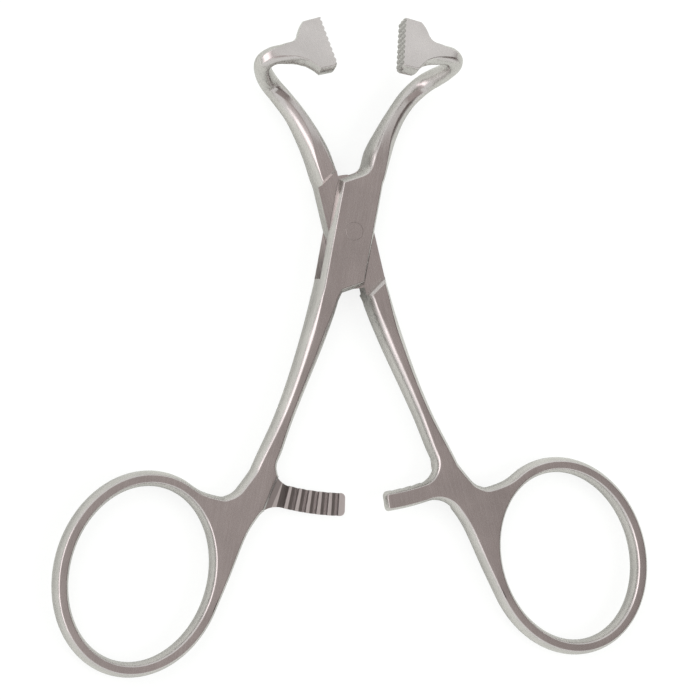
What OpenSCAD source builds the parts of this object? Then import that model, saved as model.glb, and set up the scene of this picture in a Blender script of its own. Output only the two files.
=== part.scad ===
/* [Box lock] */
// Width of the lock across the parting lines
lock_w = 7; // [6:0.1:9]
// Thickness of the lock from face to face
lock_t = 5; // [4.2:0.1:6.5]
// Thickness of the slot that the tongue turns in
slot_t = 2.4; // [1.8:0.1:2.8]
// Free play of the tongue on each of its two faces
tongue_play = 0.05; // [0.03:0.01:0.1]
// Diameter of the pivot pin
pin_d = 2.6; // [2:0.1:3.4]
// Running clearance of the tongue round the pin, on the radius
pin_play = 0.04; // [0.02:0.01:0.08]
// Pivot to the lower crotch, where the two shanks part
crotch_down = 9.2; // [8.6:0.1:11]
// Pivot to the upper crotch, where the two jaws part
crotch_up = 9; // [8.6:0.1:11]
// Slope of the shoulders of the lock
shoulder_slope = 30; // [26:1:34]
// Gap between a shoulder and the plate that it closes on
shoulder_gap = 0.2; // [0.15:0.05:0.4]

/* [Shanks and finger rings] */
// Width of a shank just below the lock
shank_w_top = 3.7; // [3.2:0.1:4.4]
// Width of a shank at its slimmest place
shank_w_mid = 2.6; // [2.4:0.05:3.4]
// Width of a shank where the ratchet arm leaves it
shank_w_root = 3.3; // [2.8:0.1:4]
// Middle of the shank, sideways of the centre line, at the ratchet
shank_x_root = 6.35; // [5.6:0.05:7.4]
// Centre of a finger ring, sideways of the centre line
ring_x = 21.45; // [19.5:0.05:24]
// Centre of a finger ring, below the pivot
ring_down = 53.6; // [52:0.2:58]
// Width of the hole of a finger ring
hole_w = 20.3; // [17:0.1:22]
// Length of the hole of a finger ring
hole_l = 25.1; // [22:0.2:27]
// Lean of a finger ring towards the lock
ring_lean = 8; // [0:1:14]
// Width of the rim of a finger ring
rim_w = 2.2; // [1.8:0.05:3]
// Thickness of a finger ring
ring_t = 3.4; // [2.8:0.1:4]

/* [Ratchet] */
// Distance of the middle of the ratchet arms from the pivot
arm_r = 39.05; // [38.5:0.05:39.6]
// Width of the arm on the half with the box
box_arm_w = 3.3; // [2.8:0.1:3.8]
// Width of the arm on the half with the tongue
tongue_arm_w = 2.9; // [2.4:0.1:3.4]
// Reach of the box half's arm past the centre line
box_arm_reach = 6.95; // [5:0.05:7]
// Reach of the tongue half's arm past the centre line
tongue_arm_reach = 4.4; // [3:0.1:4.6]
// Radius of the fillet between a ratchet arm's upper edge and the shank
arm_fillet = 2.6; // [2:0.1:2.8]
// How far the seat for the tip of the other arm is milled into the tongue half's shank
tip_relief = 1.45; // [1.45:0.05:1.7]
// Distance of the first tooth from the centre line, on the shank's side
first_tooth = 2.95; // [2:0.05:3]
// Gap between the tooth tips of the two arms
tooth_gap = 0.2; // [0.1:0.05:0.4]
// Pitch of the ratchet teeth
tooth_pitch = 1.6; // [1.2:0.05:1.8]
// Depth of the ratchet teeth
tooth_depth = 0.5; // [0.3:0.05:0.7]
// Flat land left on top of each tooth
tooth_land = 0.6; // [0.2:0.05:0.7]
// Number of ratchet teeth on the box half
box_teeth = 6; // [3:1:6]
// Number of ratchet teeth on the tongue half
tongue_teeth = 5; // [3:1:5]

/* [Jaws] */
// Pivot to the middle of the pads
jaw_l = 26.7; // [26:0.1:30]
// How far the bend of a jaw stands out from the centre line
bend_out = 9; // [8:0.1:10.5]
// Height of the middle of a pad above the middle plane of the lock
pad_rise = 8.3; // [6:0.1:9]
// Width of a jaw at its bend
bend_w = 2.6; // [2.1:0.1:3]
// Length of the gripping edge of a pad
pad_l = 8; // [6.4:0.1:9]
// Thickness of a pad
pad_t = 2.7; // [2.2:0.1:3.2]
// Tilt of a pad about the crosswise axis
pad_tilt = 20; // [10:1:26]
// Distance from the gripping edge back to the pad's shoulders
pad_depth = 2.7; // [2:0.1:3.4]
// How far the gripping edge reaches past the centre line
pad_past = 0.2; // [0:0.05:0.2]
// Pitch of the grooves across the gripping edge
serration_pitch = 0.84; // [0.7:0.02:1.2]
// Depth of the grooves in the gripping edge
serration_depth = 0.16; // [0.1:0.02:0.3]

/* [Pose] */
// Angle between the two halves as the clamp lies
opening = 25; // [25:1:40]

/* [Hidden] */
steel = [0.74, 0.73, 0.72];
pin_steel = [0.66, 0.65, 0.64];
bore_fn = 64;
far = 30;
mid_z = lock_t / 2;
tongue_t = slot_t - 2 * tongue_play;
// Flanks: half of an oval from the parting line to the ridge of the flat face
ridge_angle = 65;
rows = [for (a = [-3:3]) a * ridge_angle / 3];
lock_run = 0.75;
shank_run = 1.1;
run_full = 15;
ring_run = 0.62;
// Finger ring
rim_a = hole_w / 2 + rim_w;
rim_b = hole_l / 2 + rim_w;
merge_at = 188;
web_at = 100;
ring_steps = 60;
// Box lock
side_x = lock_w / 2;
slot_r = norm([side_x, crotch_down - side_x * tan(shoulder_slope)]) + 0.35;
tongue_r = slot_r - 0.15;
shank_steps = 18;
root_down = arm_r - 3;
jaw_steps = 3;
// Ratchet arms: their corners, flanks and the step where each is milled to half thickness
tip_round = 0.7;
arm_run = 0.45;
box_step = 0.7;
fillet_steps = 4;
arm_steps = 7;
web_edge = 3.3;
web_up = 12.8;

function unit(v) = v / norm(v);
function lerp(a, b, t) = a + (b - a) * t;
function ease(t) = (1 - cos(180 * min(max(t, 0), 1))) / 2;
function turn(p, a) = [p.x * cos(a) - p.y * sin(a), p.x * sin(a) + p.y * cos(a)];

// Smooth curve through the points p, with the given steps between each two
function curve_at(p, i, t) =
    let (n = len(p) - 1, a = p[max(i - 1, 0)], b = p[i], c = p[i + 1], d = p[min(i + 2, n)])
    0.5 * (2 * b + (c - a) * t + (2 * a - 5 * b + 4 * c - d) * t * t + (3 * b - a - 3 * c + d) * t * t * t);
function curve(p, steps) =
    [for (i = [0:len(p) - 2]) for (k = [0:steps - 1]) curve_at(p, i, k / steps), p[len(p) - 1]];

// Half thickness and flank run at a height y, from the lock down to the ring
function half_t(y) = lerp(lock_t, ring_t, max(0, min(1, (-y - crotch_down) / (root_down - crotch_down)))) / 2;
function run(y) = y > -crotch_down ? lock_run
    : -y < run_full ? lerp(lock_run, shank_run, (-y - crotch_down) / (run_full - crotch_down))
    : lerp(shank_run, ring_run, min(1, (-y - run_full) / (root_down + 4 - run_full)));

// Shank: its middle and width at f, which runs from 0 at the crotch to 1 at the ratchet
slim_at = 0.66;
function shank_y(f) = -lerp(crotch_down + 1, root_down, f);
function shank_x(f) = lerp((side_x + 0.1) / 2, shank_x_root, pow(f, 1.3));
function shank_w(f) = f < slim_at ? lerp(shank_w_top, shank_w_mid, ease(f / slim_at))
    : lerp(shank_w_mid, shank_w_root, ease((f - slim_at) / (1 - slim_at)));
function shank_edge(f, side) = [shank_x(f) + side * shank_w(f) / 2, shank_y(f)];

// Finger ring: points of an oval in the middle plane
function oval(a, b, t) = [ring_x, -ring_down] + turn([a * cos(t), b * sin(t)], ring_lean);

// The outer side of the shank runs by a web into the top of the ring
web_c = [ring_x - rim_a + 2.45, -ring_down + rim_b + 0.35];
web_r = 2.2;
web = [for (a = [200, 232, 264]) web_c + web_r * [cos(a), sin(a)]];
outer_shank = [for (k = [0:shank_steps]) shank_edge(k / shank_steps, 1)];
outer_web = curve([outer_shank[shank_steps - 1], outer_shank[shank_steps], web[0], web[1], web[2],
    oval(rim_a + 0.25, rim_b + 0.25, 112), oval(rim_a, rim_b, web_at)], 3);
outer_path = concat([for (k = [0:shank_steps - 1]) outer_shank[k]], [for (k = [3:len(outer_web) - 1]) outer_web[k]]);
// Index of the web's lowest point on the outer path
apex = shank_steps + 9;

// The inner side of the shank turns into the ratchet arm and comes back below it
inner_n = shank_steps - 2;
function polar(r, a) = r * [cos(a), sin(a)];
function arc(c, r, from, to, n, first = 0) = [for (k = [first:n]) c + polar(r, lerp(from, to, k / n))];
function edge_of(p, t) = [[p.x, p.y, 0], [0, 0, 1], half_t(p.y), lerp(run(p.y), arm_run, t)];
function tip_at(reach) = -90 - asin(reach / arm_r) + tip_round / arm_r * 180 / PI;
function step_x(y) = lerp(shank_x(1) - shank_w(1) / 2, ring_x - rim_a - web_edge,
    (-y - root_down) / (ring_down - web_up - root_down));
// Upper edge of an arm from the shank to the middle of the tip, with its flanks
function arm_upper(w, reach) =
    let (
        r = arm_r - w / 2,
        x = step_x(-root_down + 1) - arm_fillet,
        c = [x, -sqrt(pow(r - arm_fillet, 2) - x * x)],
        a = atan2(c.y, c.x), tip = tip_at(reach))
    concat([for (k = [0:fillet_steps])
            edge_of(c + polar(arm_fillet, lerp(7, a, k / fillet_steps)), k / fillet_steps)],
        [for (k = [1:arm_steps]) edge_of(polar(r, lerp(a, tip, k / arm_steps)), 1)],
        [for (p = arc(polar(r + tip_round, tip), tip_round, tip + 180, tip + 270, 2, 1)) edge_of(p, 1)]);
// Lower edge of an arm from the middle of the tip back to the shank
low_fillet = 1.4 * arm_fillet;
function arm_lower(w, reach) =
    let (
        r = arm_r + w / 2,
        x = ring_x - rim_a - 2.9 - low_fillet,
        c = [x, -sqrt(pow(r + low_fillet, 2) - x * x)],
        a = atan2(c.y, c.x), tip = tip_at(reach))
    concat([for (p = arc(polar(r - tip_round, tip), tip_round, tip + 270, tip + 360, 2)) edge_of(p, 1)],
        [for (k = [1:arm_steps]) edge_of(polar(r, lerp(tip, a, k / arm_steps)), 1)],
        [for (k = [1:fillet_steps])
            edge_of(c + polar(low_fillet, lerp(a + 180, 22, k / fillet_steps)), 1 - k / fillet_steps)]);
function inner_path(w, reach) =
    let (
        up = arm_upper(w, reach), low = arm_lower(w, reach),
        a = low[len(low) - 2][0], b = low[len(low) - 1][0],
        web = curve([[a.x, a.y], [b.x, b.y], [ring_x - rim_a - 2, -ring_down + 7.8],
            [ring_x - rim_a - 0.7, -ring_down + 1.6], oval(rim_a, rim_b, merge_at)], 4))
    concat([for (k = [0:inner_n]) flat_edge(shank_edge(k / shank_steps, -1))], up, low,
        [for (k = [5:len(web) - 1]) flat_edge(web[k])]);
// Indices on the inner path: first point of the arm, its tip and its last point
arm_a = inner_n + 1;
arm_tip = arm_a + fillet_steps + arm_steps + 2;
arm_b = arm_tip + 1 + 2 + arm_steps + fillet_steps;

// Jaw: its middle line, half width, half thickness, flank run and front face direction
neck_x = -bend_out + 3;
pad_up = [0, sin(pad_tilt), cos(pad_tilt)];
jaw_line = [
    [-1.85, crotch_up, 0, 1.85, lock_t / 2, lock_run, 0, 0, 1],
    [-2.2, crotch_up + 3, 0, 1.85, 2.35, 1, 0, 0, 1],
    [-2.95, crotch_up + 6.1, 0, 1.6, 2.1, 1.05, 0.2, 0, 1],
    [-3.95, crotch_up + 9.1, 0, 1.4, 1.85, 1, 0.25, 0, 1],
    [-5.3, jaw_l - 5.8, 0, 1.4, 1.7, 1, 0.1, 0, 1],
    [-bend_out + 2.05, jaw_l - 3.4, 1.1, 1.4, 1.45, 1, -0.25, -0.2, 0.95],
    [-bend_out + 0.45, jaw_l - 1.6, pad_rise - 4, 1.3, 1.25, 1, -0.7, -0.4, 0.55],
    [-bend_out + 0.1, jaw_l - 0.4, pad_rise - 1.9, bend_w / 2, bend_w / 2 - 0.1, 0.95, -0.92, -0.1, 0.35],
    [neck_x - 1.75, jaw_l + 0.15, pad_rise - 0.65, bend_w / 2, bend_w / 2 - 0.1, 0.8, -0.5, 0.2, 0.85],
    [neck_x, jaw_l + 0.05, pad_rise - 0.5, bend_w / 2 + 0.1, bend_w / 2, 0.5, -0.05, 0.32, 0.95],
    [neck_x + 1.6, jaw_l - 0.1, pad_rise - 0.3, 2.2, pad_t / 2 - 0.05, 0.3, 0, pad_up.y, pad_up.z],
    [pad_past - pad_depth, jaw_l, pad_rise - 0.1, pad_l / 2 - 0.1, pad_t / 2, 0.25, 0, pad_up.y, pad_up.z],
    [pad_past - 0.4, jaw_l, pad_rise, pad_l / 2, pad_t / 2, 0.25, 0, pad_up.y, pad_up.z]];
jaw_smooth = curve(jaw_line, jaw_steps);
// The corner of the pad on the lock's side is cut back a little
jaw_tip = [pad_past, jaw_l + 0.14, pad_rise - 0.05, pad_l / 2 - 0.15, pad_t / 2, 0.25, 0, pad_up.y, pad_up.z];
jaw = concat(jaw_smooth, [jaw_tip]);
jaw_n = len(jaw);
function xyz(s) = [s[0], s[1], s[2]];
function jaw_dir(i) = i >= jaw_n - 1 - jaw_steps ? [1, 0, 0] : i == 0 ? [0, 1, 0]
    : unit(xyz(jaw[i + 1]) - xyz(jaw[i - 1]));
function jaw_up(i) =
    let (t = jaw_dir(i), h = [jaw[i][6], jaw[i][7], jaw[i][8]])
    unit(h - (h * t) * t);
// One edge of the jaw as [point, thickness direction, half thickness, flank run]
function jaw_edge(i, side) =
    [xyz(jaw[i]) + side * jaw[i][3] * unit(cross(jaw_dir(i), jaw_up(i))), jaw_up(i), jaw[i][4], jaw[i][5]];
function flat_edge(p) = [[p.x, p.y, 0], [0, 0, 1], half_t(p.y), run(p.y)];

// The whole outline, from the tip down the right, round the ring and up the left
lock_right = [[0.35, crotch_up - 0.35 * tan(shoulder_slope)],
    [side_x, crotch_up - side_x * tan(shoulder_slope)], [side_x, 0], [side_x, 0.6 - crotch_down]];
lock_left = [[-side_x, crotch_up - 1.4], [-side_x, 0],
    [-side_x, side_x * tan(shoulder_slope) - crotch_down],
    [-0.35, 0.35 * tan(shoulder_slope) - crotch_down]];
right_jaw = [for (i = [jaw_n - 1:-1:0]) jaw_edge(i, 1)];
left_jaw = [for (i = [jaw_n - 1:-1:0]) jaw_edge(i, -1)];
right_lock = [for (p = lock_right) flat_edge(p)];
left_lock = [for (p = lock_left) flat_edge(p)];
right_low = [for (p = outer_path) flat_edge(p)];
rim = [for (k = [1:ring_steps]) flat_edge(oval(rim_a, rim_b, lerp(web_at, merge_at - 360, k / ring_steps)))];
function outline(w, reach) =
    let (left = concat(left_jaw, left_lock, inner_path(w, reach)))
    concat(right_jaw, right_lock, right_low, rim, [for (i = [len(left) - 2:-1:0]) left[i]]);
hole = [for (k = [0:ring_steps - 1]) let (t = 115 - k * 360 / ring_steps)
    [concat(oval(hole_w / 2, hole_l / 2, t), 0), [0, 0, 1], ring_t / 2, -ring_run]];
inside = [for (t = [merge_at - 7:-7:127]) let (p = oval(rim_a - ring_run, rim_b - ring_run, t)) p];

// Inward direction at point i of a closed chain c
function inward(c, i) =
    let (n = len(c), a = unit(cross(c[i][0] - c[(i + n - 1) % n][0], c[i][1])),
        b = unit(cross(c[(i + 1) % n][0] - c[i][0], c[i][1])))
    (a + b) / (1 + max(a * b, -0.4));
function inward_end(c, i) = unit(c[i == 0 ? len(c) - 1 : 0][0] - c[i][0]);
function row_point(e, n, a) =
    e[0] + n * e[3] * (1 - cos(a)) / (1 - cos(ridge_angle)) + e[1] * e[2] * sin(a) / sin(ridge_angle);

n_left = len(left_jaw) + len(left_lock) + len(inner_path(box_arm_w, box_arm_reach));
n_out = len(outline(box_arm_w, box_arm_reach));
n_hole = len(hole);
n_in = len(inside);
n_row = len(rows);
function outline_points(c) = [for (i = [0:n_out - 1]) for (a = rows)
    row_point(c[i], i == 0 || i == n_out - 1 ? inward_end(c, i) : inward(c, i), a)];
hole_points = [for (i = [0:n_hole - 1]) for (a = rows) row_point(hole[i], inward(hole, i), a)];
inside_points = [for (s = [-1, 1]) for (p = inside) [p.x, p.y, s * half_t(p.y)]];
hole_0 = n_out * n_row;
inside_0 = hole_0 + n_hole * n_row;

// Wall of quads, as triangles, between neighbouring points of a closed chain
function wall(first, n) = [for (i = [0:n - 1]) for (r = [0:n_row - 2])
    let (a = first + i * n_row + r, b = first + ((i + 1) % n) * n_row + r)
    each [[a, a + 1, b + 1], [a, b + 1, b]]];
// Triangles between two chains of indices, stepping along whichever is behind
function zip(p, q, i = 0, j = 0) =
    i >= len(p) - 1 && j >= len(q) - 1 ? []
    : j >= len(q) - 1 || (i < len(p) - 1 && (i + 1) * (len(q) - 1) <= (j + 1) * (len(p) - 1))
        ? concat(p[i] == q[j] || p[i + 1] == q[j] ? [] : [[p[i], q[j], p[i + 1]]], zip(p, q, i + 1, j))
        : concat(p[i] == q[j] || p[i] == q[j + 1] ? [] : [[p[i], q[j], q[j + 1]]], zip(p, q, i, j + 1));
function flip(faces) = [for (f = faces) [f[2], f[1], f[0]]];

// Index in the outline of point i of the right side or of the left side, from the tip down
n_right = len(right_jaw) + len(right_lock);
function at_right(i) = i;
function at_left(i) = n_out - 1 - i;
merge_i = n_out - n_left;
function ids(list, r) = [for (i = list) i * n_row + r];
function cap(r, s) =
    let (
        jaw_r = [for (i = [0:jaw_n - 1]) at_right(i)], jaw_l_ids = [for (i = [0:jaw_n - 1]) at_left(i)],
        lock_r = [for (i = [jaw_n - 1:n_right]) at_right(i)],
        lock_l = [for (i = [jaw_n - 1:jaw_n + len(lock_left)]) at_left(i)],
        shank_0 = jaw_n + len(lock_left),
        a = at_left(shank_0 + arm_a), b = at_left(shank_0 + arm_b), turn_r = n_right + shank_steps + 2,
        shank_r = [for (i = [0:arm_a]) n_right + i],
        shank_l = [for (i = [0:arm_a]) at_left(shank_0 + i)],
        arm_u = [for (i = [arm_a:arm_tip]) at_left(shank_0 + i)],
        arm_l = [for (i = [arm_b:-1:arm_tip + 1]) at_left(shank_0 + i)],
        web_l = [for (i = [shank_0 + arm_b:n_left - 1]) at_left(i)],
        in_ids = [for (i = [n_in - 1:-1:0]) inside_0 + (s > 0 ? n_in : 0) + i],
        web_r_ids = concat([(n_right + apex) * n_row + r], in_ids, [merge_i * n_row + r]),
        around = concat(ids([for (i = [n_right + apex:merge_i]) i], r), [for (i = [n_in - 1:-1:0]) in_ids[i]],
            [(n_right + apex) * n_row + r]),
        hole_ids = [for (i = [0:n_hole]) hole_0 + (i % n_hole) * n_row + r])
    concat(zip(ids(jaw_r, r), ids(jaw_l_ids, r)), zip(ids(lock_r, r), ids(lock_l, r)),
        zip(ids(shank_r, r), ids(shank_l, r)), zip(ids([for (i = [n_right + arm_a:turn_r]) i], r), ids([a], r)),
        zip(ids([turn_r], r), ids([a, b], r)), zip(ids([for (i = [turn_r:n_right + apex]) i], r), ids([b], r)),
        zip(ids(arm_l, r), ids(arm_u, r)), zip(web_r_ids, ids(web_l, r)), zip(around, hole_ids));

// One half as forged: ring, shank, ratchet arm, lock and jaw, before the cuts
module forging(w, reach) {
    polyhedron(points = concat(outline_points(outline(w, reach)), hole_points, inside_points),
        faces = concat(flip(wall(0, n_out)), wall(hole_0, n_hole), flip(cap(n_row - 1, 1)), cap(0, -1)),
        convexity = 8);
}

// Slab of thickness t in the middle plane, over the given disk and past its open sides
module slab(r, t, over) {
    linear_extrude(t, center = true) {
        circle(r, $fn = 96);
        translate([-far, -far])
            square([far + over, far]);
        translate([-over, 0])
            square([far + over, far]);
    }
}

// Everything on the pivot's side of the two slanted shoulders
module between_shoulders(gap) {
    d_low = crotch_down * cos(shoulder_slope) + gap;
    d_up = crotch_up * cos(shoulder_slope) + gap;
    rotate(shoulder_slope)
        translate([-far, -d_low])
            square([2 * far, d_low + d_up]);
}

// Corners of the tongue that would reach past the round of the slot
module tongue_corners() {
    for (s = [-1, 1])
        linear_extrude(far, center = true)
            intersection() {
                difference() {
                    circle(max(crotch_down, crotch_up) + 1, $fn = 96);
                    circle(tongue_r, $fn = 96);
                }
                translate([s > 0 ? -0.05 : -far + 0.05, s > 0 ? 0 : -far])
                    square(far);
            }
}

// Tooth gaps across an arm; the steep wall of each tooth faces the shank
module tooth_gaps(n) {
    slope_l = tooth_pitch - tooth_land;
    for (k = [0:n - 1])
        rotate((first_tooth - k * tooth_pitch) / arm_r * 180 / PI)
            translate([0, -arm_r, -tooth_gap / 2])
                rotate([90, 0, 0])
                    linear_extrude(6, center = true)
                        polygon([[0, 0.5], [0, 0], [-slope_l, -tooth_depth], [-slope_l, 0.5]]);
}

// The side of the arm, as far as a line the given distance from the shank
module arm_side(shift) {
    top = -root_down + 2.5;
    low = -ring_down + web_up - 1.6;
    polygon([[-far, top], [step_x(top) - shift, top], [step_x(low) - shift, low], [-far, low]]);
}

// What is milled off one face of an arm, down to half the thickness
module arm_cut(shift) {
    translate([0, 0, -tooth_gap / 2])
        linear_extrude(far)
            arm_side(shift);
}

// Seat in the shank for the tip of the other arm, round the pivot
module tip_seat() {
    translate([0, 0, -tooth_gap / 2])
        linear_extrude(far)
            intersection() {
                difference() {
                    circle(arm_r + box_arm_w / 2 + 0.3, $fn = 180);
                    circle(arm_r - box_arm_w / 2 - 0.3, $fn = 180);
                }
                arm_side(-tip_relief);
            }
}

// Grooves both ways across the gripping edge of a pad
module pad_grooves() {
    n = floor((pad_l - 0.5) / serration_pitch / 2) * 2 + 1;
    m = 3;
    translate([pad_past, jaw_l, pad_rise])
        rotate([-pad_tilt, 0, 0]) {
            linear_extrude(pad_t + 1, center = true)
                for (k = [0:n - 1])
                    translate([0, (k - (n - 1) / 2) * serration_pitch])
                        polygon([[0.1, serration_pitch * 0.55], [-serration_depth, 0],
                            [0.1, -serration_pitch * 0.55]]);
            rotate([90, 0, 0])
                linear_extrude(pad_l + 1, center = true)
                    for (k = [0:m - 1])
                        translate([0, (k - (m - 1) / 2) * serration_pitch])
                            polygon([[0.1, serration_pitch * 0.5], [-serration_depth * 0.8, 0],
                                [0.1, -serration_pitch * 0.5]]);
        }
}

module jaw_and_handle(w, reach) {
    difference() {
        forging(w, reach);
        pad_grooves();
    }
}

module place(side) {
    translate([0, 0, mid_z])
        rotate(side * opening / 2)
            mirror([side < 0 ? 1 : 0, 0, 0])
                children();
}

module box_half() {
    color(steel)
        place(-1)
            difference() {
                jaw_and_handle(box_arm_w, box_arm_reach);
                slab(slot_r, slot_t, 0.05);
                cylinder(d = pin_d, h = far, center = true, $fn = bore_fn);
                arm_cut(box_step);
                tooth_gaps(box_teeth);
            }
}

module tongue_half() {
    color(steel)
        place(1)
            difference() {
                jaw_and_handle(tongue_arm_w, tongue_arm_reach);
                for (s = [-1, 1])
                    translate([0, 0, s * (tongue_t + far) / 2])
                        linear_extrude(far, center = true)
                            between_shoulders(shoulder_gap);
                tongue_corners();
                cylinder(d = pin_d + 2 * pin_play, h = far, center = true, $fn = bore_fn);
                mirror([0, 0, 1]) {
                    arm_cut(0);
                    tip_seat();
                    tooth_gaps(tongue_teeth);
                }
            }
}

module pivot_pin() {
    color(pin_steel)
        cylinder(d = pin_d, h = lock_t, $fn = bore_fn);
}

box_half();
tongue_half();
pivot_pin();
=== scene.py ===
"""Ring-handled towel clamp: satin steel halves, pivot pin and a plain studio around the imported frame."""

import math

import bmesh
import bpy
import numpy as np
from mathutils import Matrix, Vector


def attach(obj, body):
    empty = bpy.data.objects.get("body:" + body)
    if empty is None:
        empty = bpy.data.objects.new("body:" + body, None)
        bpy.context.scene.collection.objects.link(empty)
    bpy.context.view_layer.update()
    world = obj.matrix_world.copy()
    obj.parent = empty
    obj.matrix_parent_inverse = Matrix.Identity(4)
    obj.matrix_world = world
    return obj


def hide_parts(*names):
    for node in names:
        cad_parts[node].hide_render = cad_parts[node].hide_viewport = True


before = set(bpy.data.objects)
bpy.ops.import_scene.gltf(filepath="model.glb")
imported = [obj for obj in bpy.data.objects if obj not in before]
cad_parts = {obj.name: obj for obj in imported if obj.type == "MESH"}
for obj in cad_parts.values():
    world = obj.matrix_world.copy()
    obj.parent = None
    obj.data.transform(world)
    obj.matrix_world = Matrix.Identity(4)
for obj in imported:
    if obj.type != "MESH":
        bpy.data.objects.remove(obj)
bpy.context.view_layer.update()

bl_info = {
    "name": "Towel clamp",
    "version": (1, 0, 0),
    "blender": (4, 5, 0),
    "location": "3D View > Sidebar > Clamp",
    "description": "Makes the steel halves, the pivot pin and the studio of a towel clamp",
    "category": "Add Mesh",
}

MM = 0.001
FAR = 30.0

# Steps of the forging's skin, round its edge and along it
FLANK_ROWS = 19
RIDGE_ROWS = 4
JAW_STEPS = 10
SHANK_STEPS = 72
OUTER_WEB_STEPS = 10
INNER_WEB_STEPS = 24
FILLET_STEPS = 16
ARM_STEPS = 30
TIP_STEPS = 6
RIM_STEPS = 200
BORE_STEPS = 96

# The flank's oval ends near the ridge angle, and a rounding of this width leads over to the flat face
RIDGE_ANGLE = math.radians(65)
RIDGE_MARGIN = math.radians(3)
RIDGE_ROUND = 0.09

# How far the flank runs in at the lock, in the shank, on the ring and on a ratchet arm, and where it is full
LOCK_RUN, SHANK_RUN, RING_RUN, ARM_RUN = 0.75, 1.1, 0.62, 0.45
RUN_FULL = 15

# The shank: where it ends above the ratchet arms, where it is slimmest, and how it swings out
ROOT_UP = 3
SLIMMEST = 0.66
SPREAD_POWER = 1.3

# The line that carries on the shank's inner edge ends this far from the rim and above the ring's centre
WEB_EDGE = (3.3, 12.8)

# The lock: how far the cuts pass the parting line and clear the other half, and the fillets at the jaws' roots
SLOT_OVER = 0.05
SLOT_CLEAR = 0.35
CORNER_CLEAR = 0.15
SHOULDER_CHAMFER = 0.4
BOX_FILLET, TONGUE_FILLET = 0.9, 0.25

# The ratchet: roundings of tips and teeth, room round a tip's seat, and the step at the root of the box half's arm
TIP_ROUND = 0.7
TOOTH_ROUND = 0.1
TIP_CLEAR = 0.3
BOX_STEP = 0.9
STEP_ROLL = 0.8
BOX_TEETH, TONGUE_TEETH = 6, 5

# Material slots of a half: ground faces, milled cuts and lapped flats. The milled cuts carry painted shade and the
# lapped flats painted light, as darker and lighter copies of the steel's colour
SATIN, MILLED_PAINTED_SHADE, LAPPED_PAINTED_LIGHT = 0, 1, 2
SHARP_ANGLE = math.radians(28)

# The camera's distance and the size of a pixel at the lock, in millimetres
CAMERA_AWAY = 550
PIXEL = 0.1433


def length(name, description, mm):
    """A size in the panel. It is given here in millimetres and kept in metres."""
    return bpy.props.FloatProperty(name=name, description=description, default=mm * MM, min=0.0, unit="LENGTH",
                                   subtype="DISTANCE", precision=5)


def angle(name, description, degrees):
    """An angle in the panel. It is given here in degrees and kept in radians."""
    return bpy.props.FloatProperty(name=name, description=description, default=math.radians(degrees),
                                   unit="ROTATION", subtype="ANGLE")


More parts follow.
